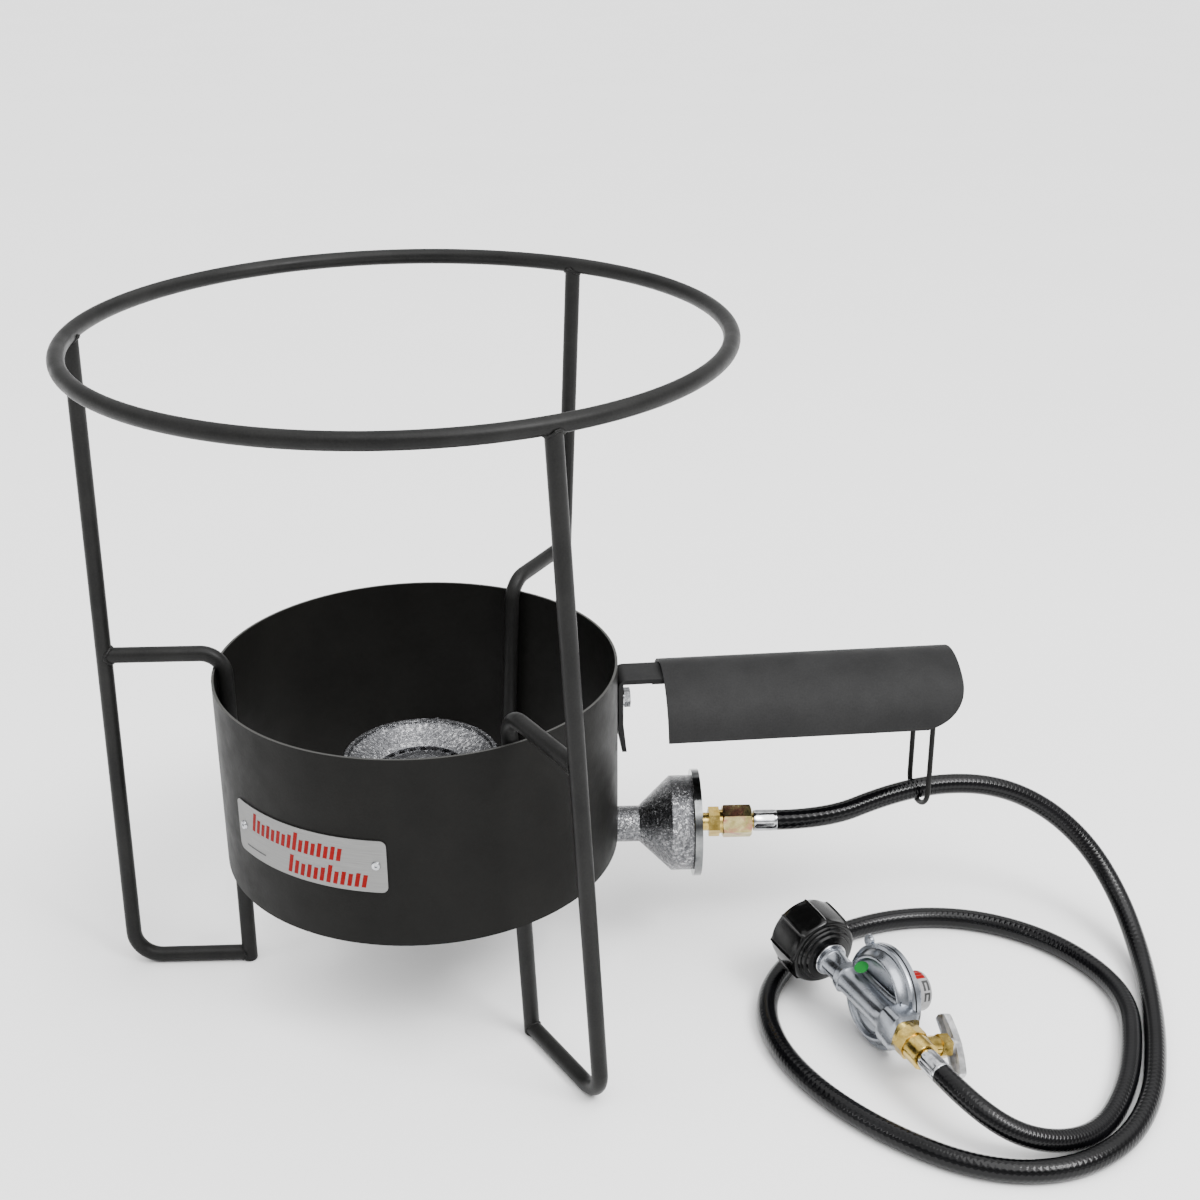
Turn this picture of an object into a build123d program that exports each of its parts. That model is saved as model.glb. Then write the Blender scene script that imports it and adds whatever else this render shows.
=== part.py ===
"""Propane burner stand with its cast jet burner, hose, hose guard, valve and regulator.

Millimetres.  The origin is on the floor, on the axis of the windshield.  +Z is up and +X
runs along the burner's mixing tube, towards the gas hose.
"""
from build123d import *
from math import atan2, cos, degrees, pi, radians, sin, sqrt, tan
import os

os.makedirs("parts", exist_ok=True)

# ---------------------------------------------------------------- driving dimensions
# Stand: 10 mm round bar, bent and welded
rod_radius = 5.0
ring_radius = 193.2          # bar centreline of the pot ring
ring_height = 425.2
leg_azimuths = {"left": 180.0, "front": 299.7, "rear": 60.0}
leg_lean = 2.8               # each leg leans this many degrees sideways, round the ring
lean_height = 215.0          # height at which a leg stands exactly at its azimuth
leg_top_radius = 192.9
leg_foot_radii = {"left": 195.1, "front": 202.0, "rear": 195.1}
arm_heights = {"left": 221.5, "front": 229.5, "rear": 221.5}
brace_radius = 119.8         # inner upright, just inside the windshield
foot_bend = 18.0
arm_bend = 15.0
foot_rounding = 1.5          # the cut end of each upright is eased

# Windshield: rolled sheet
shield_radius = 127.0
shield_wall = 1.6
shield_bottom = 86.8
shield_top = 212.4

# Name plate on the windshield
plate_start = -146.5         # degrees round +Z
plate_end = -96.0
plate_bottom = 124.2
plate_top = 159.2
plate_thickness = 0.8
plate_corner = 4.0
rivet_azimuths = (-143.4, -98.9)
rivet_height = 142.6
rivet_hole = 1.6
rivet_head = 2.9

# Hose guard and its bracket
guard_azimuth = 3.5
strap_width = 25.0
strap_thickness = 3.0
strap_top = 198.2
strap_bottom = 147.0
strap_inner = 127.1          # the strap's inner face, on the windshield
strap_end = 206.0
strap_flare = 2.2            # the strap's lower end stands off the wall by this much
strap_flare_from = 167.0
bolt_height = 180.2
guard_bolt_radius = 3.0
guard_radius = 43.5
guard_half_angle = 78.0      # the guard is an arc of this much to each side of its top
guard_wall = 1.5
guard_axis_height = 158.5
guard_near = 155.5
guard_far = 347.0
guard_corner_length = 35.0
guard_corner_top = 194.0     # the far corners are round from this height down
hanger_at = 331.0
hanger_wire = 1.75
hanger_half_width = 14.0
hanger_bend_height = 105.6
hanger_turn = 10.0           # the wire hangs a little askew

# Burner casting
tube_height = 90.8
tube_radius = 11.75
tube_bore = 8.75
burner_rim_height = 146.5
burner_rim_radius = 50.5
bell_start = 141.0
bell_shoulder = 161.5
bell_end = 175.2
bell_radius = 31.0
bell_bore = 27.5
bridge_start = 164.0
bridge_end = 173.0
spindle_radius = 6.0

# Air shutter, orifice fitting and the burner end of the hose
shutter_radius = 35.0
shutter_start = 175.7
shutter_thickness = 4.8
running_gap = 0.05
hex_start = 187.0
hex_end = 194.0
fitting_hex = 17.0           # across flats
flare_thread_radius = 7.95
flare_end = 207.0
swivel_start = 196.0
swivel_end = 215.3
swivel_hex = 19.0
stem_radius = 5.0
burner_ferrule_start = 216.4
burner_ferrule_end = 232.2
ferrule_radius = 7.0
hose_radius = 6.7

# Regulator, valve and tank nut: measured along the gas path from the middle of the nut
regulator_origin = Vector(248.4, -61.0, 38.3)
hose_end = Vector(306.3, -189.3, 31.0)
nut_radius = 24.5
nut_back = -11.5
nut_grip_end = 15.7
nut_front = 22.0
nut_bore = 16.6
nut_thread_end = -5.0
nut_relief = 17.4
inlet_collar_radius = 9.5
body_start = 39.5
body_end = 103.5
disc_at = 66.0
disc_radius = 32.6
disc_split = 11.0            # distance of the diaphragm from the gas path
regulator_roll = 10.0        # the back of the disc points this many degrees below level
valve_end = 125.0
valve_roll = 18.0            # the valve's stem points this many degrees below level
valve_at = 115.0
lever_rest_angle = 37.0      # lever below the gas path, as it was left
lever_half_length = 22.0


# ---------------------------------------------------------------- helpers
def finish(piece, name):
    """Label one finished piece and write it to its own STEP file."""
    piece.part.label = name
    export_step(piece.part, f"parts/{name}.step")


def direction(azimuth):
    """Horizontal unit vector at an azimuth in degrees."""
    return Vector(cos(radians(azimuth)), sin(radians(azimuth)), 0)


def leg_plane(azimuth):
    """Upright plane of one leg: x outwards, y up along the leaning leg."""
    radial = direction(azimuth)
    tangent = direction(azimuth + 90)
    up = Vector(0, 0, cos(radians(leg_lean))) - tangent * sin(radians(leg_lean))
    return Plane(origin=(0, 0, lean_height), x_dir=radial, z_dir=radial.cross(up))


def leg_level(height):
    """Height above the floor, as a distance along the leaning leg plane."""
    return (height - lean_height) / cos(radians(leg_lean))


def side_plane(azimuth):
    """Upright plane through the stand's axis: x outwards, y up."""
    return Plane(origin=(0, 0, 0), x_dir=direction(azimuth), z_dir=direction(azimuth - 90))


def facing_plane(azimuth, distance):
    """Upright plane facing outwards at a distance from the axis: x sideways, y up."""
    radial = direction(azimuth)
    return Plane(origin=radial * distance, x_dir=direction(azimuth + 90), z_dir=radial)


def path_start(path):
    """Plane across the start of a path."""
    return Plane(origin=path.line @ 0, z_dir=path.line % 0)


def add_rod(plane, start, end, radius, mode=Mode.ADD):
    """Round length of the current part, standing on a plane between two distances."""
    with Locations(plane.offset(start)):
        Cylinder(radius, end - start, align=(Align.CENTER, Align.CENTER, Align.MIN), mode=mode)


def cut_rod(plane, start, end, radius):
    """Round hole in the current part, square to a plane between two distances."""
    add_rod(plane, start, end, radius, mode=Mode.SUBTRACT)


def add_cone(plane, start, end, start_radius, end_radius, mode=Mode.ADD):
    """Cone in the current part, standing on a plane between two distances."""
    align = (Align.CENTER, Align.CENTER, Align.MIN)
    with Locations(plane.offset(start)):
        Cone(start_radius, end_radius, end - start, align=align, mode=mode)


# ---------------------------------------------------------------- stand
with BuildPart() as pot_ring:
    with BuildSketch(Plane.XZ):
        with Locations((ring_radius, ring_height)):
            Circle(rod_radius)
    revolve(axis=Axis.Z)
finish(pot_ring, "pot_ring")

foot_level = leg_level(rod_radius)
cope = rod_radius / 2        # a bar stops short of the next bar's centreline, then is coped

legs = {}
for name, azimuth in leg_azimuths.items():
    plane = leg_plane(azimuth)
    with BuildPart() as leg:
        with BuildLine(plane) as leg_path:
            FilletPolyline(
                (leg_top_radius, leg_level(ring_height) - cope),
                (leg_foot_radii[name], foot_level),
                (brace_radius + cope, foot_level),
                radius=foot_bend,
            )
        with BuildSketch(path_start(leg_path)):
            Circle(rod_radius)
        sweep()
        add(pot_ring.part, mode=Mode.SUBTRACT)
        brace_foot = plane.from_local_coords((brace_radius, foot_level, 0))
        with BuildSketch(Plane(origin=brace_foot, z_dir=plane.y_dir)):
            Circle(rod_radius)
        extrude(amount=3 * rod_radius, both=True, mode=Mode.SUBTRACT)
    finish(leg, f"leg_{name}")
    legs[name] = leg

braces = []
for name, azimuth in leg_azimuths.items():
    plane = leg_plane(azimuth)
    arm_height = arm_heights[name]
    arm_level = leg_level(arm_height)
    leg_slope = (leg_foot_radii[name] - leg_top_radius) / (ring_height - rod_radius)
    arm_end_radius = leg_top_radius + leg_slope * (ring_height - arm_height)
    with BuildPart() as brace:
        with BuildLine(plane) as brace_path:
            FilletPolyline(
                (brace_radius, leg_level(-rod_radius)),
                (brace_radius, arm_level),
                (arm_end_radius - cope, arm_level),
                radius=arm_bend,
            )
        with BuildSketch(path_start(brace_path)):
            Circle(rod_radius)
        sweep()
        add(legs[name].part, mode=Mode.SUBTRACT)
        with Locations((0, 0, -2 * rod_radius)):
            Box(4 * ring_radius, 4 * ring_radius, 4 * rod_radius, mode=Mode.SUBTRACT)
        cut_end = brace.faces().sort_by(Axis.Z)[0]
        fillet(cut_end.edges(), radius=foot_rounding)
    finish(brace, f"brace_{name}")
    braces.append(brace)

# ---------------------------------------------------------------- windshield
shield_height = shield_top - shield_bottom
slot_radius = tube_radius + 1.8
shield_inner = shield_radius - shield_wall

with BuildPart() as windshield:
    with BuildSketch(Plane.XY.offset(shield_bottom)):
        Circle(shield_radius)
        Circle(shield_inner, mode=Mode.SUBTRACT)
    extrude(amount=shield_height)
    # the rim is notched where the arms bend over it
    for brace in braces:
        add(brace.part, mode=Mode.SUBTRACT)
    # slot for the mixing tube, open at the bottom edge
    with BuildSketch(Plane.YZ.offset(shield_inner - 10)):
        with Locations((0, tube_height)):
            Circle(slot_radius)
        with Locations((0, tube_height - slot_radius)):
            Rectangle(2 * slot_radius, 2 * slot_radius)
    extrude(amount=20, mode=Mode.SUBTRACT)
    with BuildSketch(facing_plane(guard_azimuth, shield_inner - 5)):
        with Locations((0, bolt_height)):
            Circle(guard_bolt_radius + 0.2)
    extrude(amount=10, mode=Mode.SUBTRACT)
    for azimuth in rivet_azimuths:
        with BuildSketch(facing_plane(azimuth, shield_inner - 5)):
            with Locations((0, rivet_height)):
                Circle(rivet_hole)
        extrude(amount=10, mode=Mode.SUBTRACT)
finish(windshield, "windshield")

plate_inner = shield_radius + 0.02
with BuildPart() as name_plate:
    with BuildSketch(side_plane(plate_start)):
        with Locations((plate_inner + plate_thickness / 2, (plate_bottom + plate_top) / 2)):
            Rectangle(plate_thickness, plate_top - plate_bottom)
    revolve(axis=Axis.Z, revolution_arc=plate_end - plate_start)
    corners = [e for e in name_plate.edges() if abs(e.length - plate_thickness) < 0.01]
    fillet(corners, radius=plate_corner)
    for azimuth in rivet_azimuths:
        with BuildSketch(facing_plane(azimuth, shield_inner)):
            with Locations((0, rivet_height)):
                Circle(rivet_hole)
        extrude(amount=10, mode=Mode.SUBTRACT)
finish(name_plate, "name_plate")

rivet_face = shield_radius + plate_thickness + 0.05
with BuildPart() as plate_rivets:
    for azimuth in rivet_azimuths:
        with BuildSketch(facing_plane(azimuth, shield_inner - 2.0)):
            with Locations((0, rivet_height)):
                Circle(rivet_hole - 0.03)
        extrude(amount=rivet_face + 2.0 - shield_inner)
        with BuildSketch(facing_plane(azimuth, rivet_face)):
            with Locations((0, rivet_height)):
                Circle(rivet_head)
        extrude(amount=1.1, taper=25)
        # the hole that the mandrel leaves in a blind rivet
        with BuildSketch(facing_plane(azimuth, rivet_face + 0.3)):
            with Locations((0, rivet_height)):
                Circle(0.9)
        extrude(amount=2, mode=Mode.SUBTRACT)
finish(plate_rivets, "plate_rivets")

# ---------------------------------------------------------------- hose guard
with BuildPart() as guard_bracket:
    with BuildSketch(side_plane(guard_azimuth)):
        with BuildLine():
            Polyline(
                (strap_inner, strap_flare_from),
                (strap_inner + strap_flare, strap_bottom),
                (strap_inner + strap_flare + strap_thickness, strap_bottom),
                (strap_inner + strap_thickness, strap_flare_from),
                (strap_inner + strap_thickness, strap_top - strap_thickness),
                (strap_end, strap_top - strap_thickness),
                (strap_end, strap_top),
                (strap_inner, strap_top),
                close=True,
            )
        make_face()
    extrude(amount=strap_width / 2, both=True)
    bend_edges = guard_bracket.edges().filter_by(
        lambda e: abs(e.length - strap_width) < 0.01
    )
    outer_bend = bend_edges.sort_by(Axis.Z)[-2:].sort_by(Axis.X)[0]
    fillet(outer_bend, radius=strap_thickness + 2)
    with BuildSketch(facing_plane(guard_azimuth, shield_inner - 5)):
        with Locations((0, bolt_height)):
            Circle(guard_bolt_radius + 0.2)
    extrude(amount=15, mode=Mode.SUBTRACT)
finish(guard_bracket, "guard_bracket")

strap_outer = strap_inner + strap_thickness
washer_thickness = 1.5
nut_seat = shield_inner - 0.2
with BuildPart() as guard_lock_washer:
    with BuildSketch(facing_plane(guard_azimuth, strap_outer)):
        with Locations((0, bolt_height)):
            Circle(5.6)
            Circle(guard_bolt_radius + 0.15, mode=Mode.SUBTRACT)
        with Locations((0, bolt_height + 4.6)):
            Rectangle(0.8, 4.0, mode=Mode.SUBTRACT)
    extrude(amount=washer_thickness)
finish(guard_lock_washer, "guard_lock_washer")

with BuildPart() as guard_bolt:
    with BuildSketch(facing_plane(guard_azimuth, nut_seat - 7)):
        with Locations((0, bolt_height)):
            Circle(guard_bolt_radius)
    extrude(amount=strap_outer + washer_thickness - nut_seat + 7)
    with BuildSketch(facing_plane(guard_azimuth, strap_outer + washer_thickness)):
        with Locations((0, bolt_height)):
            RegularPolygon(radius=5.5, side_count=6, major_radius=False)
    extrude(amount=4.0)
finish(guard_bolt, "guard_bolt")

with BuildPart() as guard_nut:
    with BuildSketch(facing_plane(guard_azimuth, nut_seat - 5.2)):
        with Locations((0, bolt_height)):
            RegularPolygon(radius=5.5, side_count=6, major_radius=False)
            Circle(guard_bolt_radius + 0.02, mode=Mode.SUBTRACT)
    extrude(amount=5.0)
finish(guard_nut, "guard_nut")

guard_edge_height = guard_axis_height + guard_radius * cos(radians(guard_half_angle))
guard_corner_drop = guard_corner_top - guard_edge_height + 1.0
with BuildPart() as hose_guard:
    with BuildSketch(facing_plane(guard_azimuth, guard_near)):
        with Locations((0, guard_axis_height)):
            Circle(guard_radius)
            Circle(guard_radius - guard_wall, mode=Mode.SUBTRACT)
        with Locations((0, guard_edge_height - guard_radius)):
            Rectangle(3 * guard_radius, 2 * guard_radius, mode=Mode.SUBTRACT)
    extrude(amount=guard_far - guard_near)
    # both lower corners of the far end are rounded off
    with BuildSketch(side_plane(guard_azimuth)):
        with Locations((guard_far, guard_edge_height)):
            Rectangle(2 * guard_corner_length, 2 * guard_corner_drop)
        with Locations((guard_far - guard_corner_length, guard_corner_top)):
            Ellipse(guard_corner_length, guard_corner_drop, mode=Mode.SUBTRACT)
        with Locations((guard_far - 2 * guard_corner_length, guard_edge_height)):
            Rectangle(2 * guard_corner_length, 4 * guard_corner_drop, mode=Mode.SUBTRACT)
    extrude(amount=2 * guard_radius, both=True, mode=Mode.SUBTRACT)
finish(hose_guard, "hose_guard")

hanger_top = guard_axis_height + sqrt(
    (guard_radius - guard_wall) ** 2 - (hanger_half_width + hanger_wire) ** 2
) - 0.3
hanger_plane = Plane(
    origin=direction(guard_azimuth) * hanger_at,
    x_dir=direction(guard_azimuth + 90 + hanger_turn),
    z_dir=direction(guard_azimuth + hanger_turn),
)
with BuildPart() as hose_hanger:
    with BuildLine(hanger_plane) as hanger_path:
        Polyline((-hanger_half_width, hanger_top), (-hanger_half_width, hanger_bend_height))
        ThreePointArc(
            (-hanger_half_width, hanger_bend_height),
            (0, hanger_bend_height - hanger_half_width),
            (hanger_half_width, hanger_bend_height),
        )
        Polyline((hanger_half_width, hanger_bend_height), (hanger_half_width, hanger_top))
    with BuildSketch(path_start(hanger_path)):
        Circle(hanger_wire)
    sweep()
finish(hose_hanger, "hose_hanger")

# ---------------------------------------------------------------- burner
support_top = 74.0
support_thickness = 3.0
support_half_width = 12.5
support_tab_radius = shield_inner - 1.0
support_tab_top = 102.0
with BuildPart() as burner_support:
    # a drop-centre strap across the windshield, its ends welded to the wall
    with BuildSketch(Plane.YZ.offset(-support_half_width)):
        with BuildLine():
            lower = [
                (28.0, support_top - support_thickness),
                (support_tab_radius, 90.0),
                (support_tab_radius, support_tab_top),
            ]
            upper = [
                (support_tab_radius - support_thickness, support_tab_top),
                (support_tab_radius - support_thickness, 92.0),
                (28.0, support_top),
            ]
            right = lower + upper
            left = [(-y, z) for y, z in reversed(right)]
            Polyline(*right, *left, close=True)
        make_face()
    extrude(amount=2 * support_half_width)
    with BuildSketch(Plane.XY.offset(support_top - 10)):
        Circle(3.6)
    extrude(amount=20, mode=Mode.SUBTRACT)
    with BuildSketch(Plane.XY.offset(shield_bottom - 5)):
        Circle(2 * shield_radius)
        Circle(shield_inner - 0.2, mode=Mode.SUBTRACT)
    extrude(amount=40, mode=Mode.SUBTRACT)
finish(burner_support, "burner_support")

boss_bottom = support_top
with BuildPart() as burner_body:
    # bowl, turned about the vertical axis
    with BuildSketch(Plane.XZ):
        with BuildLine():
            Polyline(
                (0, boss_bottom),
                (9.5, boss_bottom),
                (10.5, 79.0),
                (15.0, 80.0),
                (17.0, 84.0),
                (17.0, 100.0),
                (31.0, 113.0),
                (33.5, 124.0),
                (46.5, 138.0),
                (burner_rim_radius, 141.0),
                (burner_rim_radius, burner_rim_height - 1.2),
                (burner_rim_radius - 1.2, burner_rim_height),
                (burner_rim_radius - 3.4, burner_rim_height),
                (burner_rim_radius - 4.2, burner_rim_height - 2.0),
                (29.0, 136.5),
                (29.0, 116.0),
                (12.5, 103.0),
                (12.5, 82.0),
                (0, 82.0),
                close=True,
            )
        make_face()
    revolve(axis=Axis.Z)
    # mixing tube and bell, turned about the tube's axis
    tube_axis = Axis((0, 0, tube_height), (1, 0, 0))
    with BuildSketch(Plane.XZ):
        with BuildLine():
            Polyline(
                (14.0, tube_height),
                (14.0, tube_height + tube_radius),
                (bell_start, tube_height + tube_radius),
                (bell_shoulder, tube_height + bell_radius),
                (bell_end, tube_height + bell_radius),
                (bell_end, tube_height),
                close=True,
            )
        make_face()
    revolve(axis=tube_axis)
    with BuildSketch(Plane.XZ):
        with BuildLine():
            Polyline(
                (0, tube_height),
                (0, tube_height + tube_bore),
                (bell_start + 2, tube_height + tube_bore),
                (bell_shoulder + 1, tube_height + bell_bore),
                (bell_end + 1, tube_height + bell_bore),
                (bell_end + 1, tube_height),
                close=True,
            )
        make_face()
    revolve(axis=tube_axis, mode=Mode.SUBTRACT)
    # bridge across the bell, with the threaded boss that holds the orifice fitting
    with BuildSketch(Plane.YZ.offset(bridge_start)):
        with Locations((0, tube_height)):
            Rectangle(9.0, 2 * bell_bore + 2)
            Circle(10.0)
            Circle(spindle_radius + 0.02, mode=Mode.SUBTRACT)
    extrude(amount=bridge_end - bridge_start)
    # threaded hole for the bolt from below
    with BuildSketch(Plane.XY.offset(boss_bottom)):
        Circle(3.2)
    extrude(amount=6.5, mode=Mode.SUBTRACT)
    # casting nubs on the rim, where the gates were broken off
    for nub_azimuth in (80.0, 12.0):
        with BuildSketch(Plane.XY.offset(burner_rim_height - 0.5)):
            with PolarLocations(burner_rim_radius - 1.8, 1, start_angle=nub_azimuth):
                Circle(1.4)
        extrude(amount=1.3, taper=15)
finish(burner_body, "burner_body")

cap_radius = 28.95
port_count = 24
with BuildPart() as burner_cap:
    # notched insert: gas leaves through the notches round its edge
    with BuildSketch(Plane.XZ):
        with BuildLine():
            Polyline(
                (0, 138.0),
                (16.0, 137.5),
                (26.0, 134.5),
                (cap_radius, 134.5),
                (cap_radius, 122.0),
                (25.5, 122.0),
                (25.5, 130.0),
                (15.0, 133.5),
                (0, 134.0),
                close=True,
            )
        make_face()
    revolve(axis=Axis.Z)
    with BuildSketch(Plane.XY.offset(120.0)):
        with PolarLocations(cap_radius, port_count):
            Circle(2.3)
    extrude(amount=20.0, mode=Mode.SUBTRACT)
finish(burner_cap, "burner_cap")

with BuildPart() as burner_bolt:
    with BuildSketch(Plane.XY.offset(support_top - support_thickness - 1.6)):
        Circle(3.15)
    extrude(amount=11.0)
    with BuildSketch(Plane.XY.offset(support_top - support_thickness - 1.6)):
        RegularPolygon(radius=5.5, side_count=6, major_radius=False)
    extrude(amount=-4.2)
finish(burner_bolt, "burner_bolt")

with BuildPart() as burner_washer:
    with BuildSketch(Plane.XY.offset(support_top - support_thickness - 1.6)):
        Circle(8.0)
        Circle(3.4, mode=Mode.SUBTRACT)
    extrude(amount=1.6)
finish(burner_washer, "burner_washer")


# ---------------------------------------------------------------- air shutter and orifice
tube_line = Plane(origin=(0, 0, tube_height), x_dir=(0, 1, 0), z_dir=(1, 0, 0))
hex_turn = 6.0
with BuildPart() as air_shutter:
    add_rod(tube_line, shutter_start, shutter_start + shutter_thickness, shutter_radius)
    # dished between the rim and the hub on the outer side
    with BuildSketch(tube_line.offset(shutter_start + 2.6)):
        Circle(shutter_radius - 2.8)
        Circle(10.5, mode=Mode.SUBTRACT)
    extrude(amount=shutter_thickness, mode=Mode.SUBTRACT)
    cut_rod(tube_line, shutter_start - 1, shutter_start + 10, spindle_radius + running_gap)
finish(air_shutter, "air_shutter")

nozzle_start = 156.0
with BuildPart() as orifice_fitting:
    add_rod(tube_line, bridge_start - 1.0, hex_start, spindle_radius)
    add_rod(tube_line, nozzle_start, bridge_start - 1.0, 4.5)
    with BuildSketch(tube_line.offset(hex_start)):
        RegularPolygon(radius=fitting_hex / 2, side_count=6, major_radius=False, rotation=hex_turn)
    extrude(amount=hex_end - hex_start)
    add_rod(tube_line, hex_end, flare_end - 3.0, flare_thread_radius)
    with BuildSketch(Plane.XZ):
        with BuildLine():
            Polyline(
                (flare_end - 3.0, tube_height),
                (flare_end - 3.0, tube_height + 7.0),
                (flare_end, tube_height + 4.0),
                (flare_end, tube_height),
                close=True,
            )
        make_face()
    revolve(axis=tube_axis)
    cut_rod(tube_line, nozzle_start + 2.0, flare_end + 1, 2.4)
    cut_rod(tube_line, nozzle_start - 1, nozzle_start + 3.0, 0.6)
finish(orifice_fitting, "orifice_fitting")

swivel_shoulder = 210.5
with BuildPart() as swivel_nut:
    with BuildSketch(tube_line.offset(swivel_start)):
        RegularPolygon(radius=swivel_hex / 2, side_count=6, major_radius=False, rotation=14)
    extrude(amount=swivel_end - swivel_start)
    cut_rod(tube_line, swivel_start - 1, swivel_shoulder, flare_thread_radius + running_gap)
    cut_rod(tube_line, swivel_start, swivel_end + 1, stem_radius + running_gap)
    # the corners of both ends are chamfered by a cone
    for end, inward in ((swivel_start, 1), (swivel_end, -1)):
        with BuildSketch(Plane.XZ):
            with BuildLine():
                Polyline(
                    (end, tube_height + swivel_hex / 2 - 0.2),
                    (end, tube_height + swivel_hex),
                    (end + inward * swivel_hex / 3.4, tube_height + swivel_hex),
                    close=True,
                )
            make_face()
        revolve(axis=tube_axis, mode=Mode.SUBTRACT)
finish(swivel_nut, "swivel_nut")

with BuildPart() as hose_stem:
    # flared tail piece: the nut pulls its flange on to the flare, and the hose is crimped on
    add_rod(tube_line, flare_end + 0.3, swivel_shoulder - 0.3, 7.0)
    add_rod(tube_line, swivel_shoulder - 0.3, burner_ferrule_end, stem_radius)
    cut_rod(tube_line, flare_end, burner_ferrule_end + 1, 2.4)
finish(hose_stem, "hose_stem")

with BuildPart() as burner_ferrule:
    add_rod(tube_line, burner_ferrule_start, burner_ferrule_end, ferrule_radius)
    fillet(burner_ferrule.edges().filter_by(GeomType.CIRCLE).sort_by(Axis.X)[0], radius=1.2)
    cut_rod(tube_line, burner_ferrule_start - 1, burner_ferrule_end + 1, stem_radius + 0.02)
finish(burner_ferrule, "burner_ferrule")

# ---------------------------------------------------------------- regulator
# Its own directions: gas_way runs from the tank nut to the hose, back_way points from the
# gas path to the bonnet, both as the regulator lies rolled over on the floor.
gas_way = (hose_end - regulator_origin).normalized()
level_way = Vector(-gas_way.Y, gas_way.X, 0).normalized()
rise_way = gas_way.cross(level_way)


def rolled(angle):
    """Unit vector square to the gas path, this many degrees below level."""
    return level_way * cos(radians(angle)) - rise_way * sin(radians(angle))


back_way = rolled(regulator_roll)
regulator_plane = Plane(origin=regulator_origin, x_dir=back_way, z_dir=gas_way)
hose_start_c = (hose_end - regulator_origin).length


disc_centre = regulator_plane.from_local_coords((0, 0, disc_at))
disc_plane = Plane(origin=disc_centre, x_dir=-gas_way, z_dir=back_way)

with BuildPart() as tank_nut:
    with BuildSketch(regulator_plane.offset(nut_back)):
        Circle(nut_radius - 2.4)
        with PolarLocations(nut_radius - 3.0, 8):
            Rectangle(6.0, 8.5)
    extrude(amount=nut_grip_end - nut_back)
    add_cone(regulator_plane, nut_grip_end, nut_grip_end + 2.8, nut_radius - 3.2, 18.5)
    add_rod(regulator_plane, nut_grip_end + 2.8, nut_front, 16.0)
    cut_rod(regulator_plane, nut_back - 1, nut_thread_end, nut_bore)
    cut_rod(regulator_plane, nut_thread_end, 8.0, nut_relief)
    cut_rod(regulator_plane, 7.0, 14.0, 13.0)
    cut_rod(regulator_plane, 13.0, nut_front + 1, inlet_collar_radius + running_gap)
finish(tank_nut, "tank_nut")

with BuildPart() as inlet_fitting:
    # plated inlet: nose, flange that the nut draws in, collar, stem
    add_rod(regulator_plane, -1.5, 9.0, 6.5)
    add_rod(regulator_plane, 9.0, 13.5, 12.5)
    add_rod(regulator_plane, 13.5, 28.0, inlet_collar_radius)
    add_rod(regulator_plane, 28.0, 36.0, 7.8)
    with BuildSketch(regulator_plane.offset(36.0)):
        RegularPolygon(radius=8.0, side_count=6, major_radius=False, rotation=30)
    extrude(amount=body_start - 36.0)
    cut_rod(regulator_plane, -3.0, body_start + 1, 2.5)
finish(inlet_fitting, "inlet_fitting")

with BuildPart() as inlet_seal:
    # rubber nose bush that seals in the tank valve
    add_rod(regulator_plane, -4.5, -1.5, 7.6)
    cut_rod(regulator_plane, -5.0, -1.0, 3.0)
finish(inlet_seal, "inlet_seal")

with BuildPart() as nut_retainer:
    # split ring behind the nut's collar, which keeps the nut on the inlet
    with BuildSketch(regulator_plane.offset(nut_front + 0.5)):
        Circle(12.0)
        Circle(inlet_collar_radius + 0.02, mode=Mode.SUBTRACT)
        with Locations((11.0, 0)):
            Rectangle(4.0, 2.0, mode=Mode.SUBTRACT)
    extrude(amount=1.4)
finish(nut_retainer, "nut_retainer")

chamber_radius = 26.0
web_front = 3.0              # front face of the dish, behind the gas path
flange_front = 7.8
half_gap = 0.4               # half of the diaphragm's clamped thickness
vent_side = 22.8
vent_up = 25.9
with BuildPart() as regulator_body:
    add_rod(disc_plane, flange_front, disc_split - half_gap, disc_radius)
    add_cone(disc_plane, web_front - 1.5, flange_front, 25.0, 28.5)
    # recess in the front of the dish
    cut_rod(disc_plane, web_front - 3.0, web_front, 21.5)
    # gas path: a round barrel across the dish
    add_rod(regulator_plane, body_start, body_end, 9.0)
    with BuildSketch(regulator_plane.offset(body_end - 13.0)):
        RegularPolygon(radius=10.5, side_count=8, major_radius=False, rotation=22.5)
    extrude(amount=13.0)
    with BuildSketch(regulator_plane.offset(body_start)):
        RegularPolygon(radius=9.8, side_count=8, major_radius=False, rotation=22.5)
    extrude(amount=9.0)
    # chamber under the diaphragm, open at the split
    cut_rod(disc_plane, 6.8, disc_split, chamber_radius)
    # nothing of the casting reaches past the diaphragm, and the flange clears the inlet
    cut_rod(disc_plane, disc_split - half_gap, disc_split + 10, 2 * disc_radius)
    cut_rod(regulator_plane, body_start - 10, body_start, 9.6)
    # drilled gas way, inlet side and outlet side, and a hole from each to the chamber
    cut_rod(regulator_plane, body_start - 1, disc_at - 8, 3.0)
    cut_rod(regulator_plane, disc_at - 2, body_end + 1, 4.0)
    for inlet_or_outlet in (8.0, -8.0):
        hole_at = disc_plane.from_local_coords((inlet_or_outlet, 0, 0))
        cut_rod(Plane(origin=hole_at, z_dir=back_way), 0, 9, 2.0)
    # vent tab on the edge of the disc
    with BuildSketch(disc_plane.offset(flange_front + 0.2)):
        with Locations((vent_side, vent_up)):
            Circle(4.2)
            Circle(1.6, mode=Mode.SUBTRACT)
    extrude(amount=2.4)
finish(regulator_body, "regulator_body")

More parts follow.
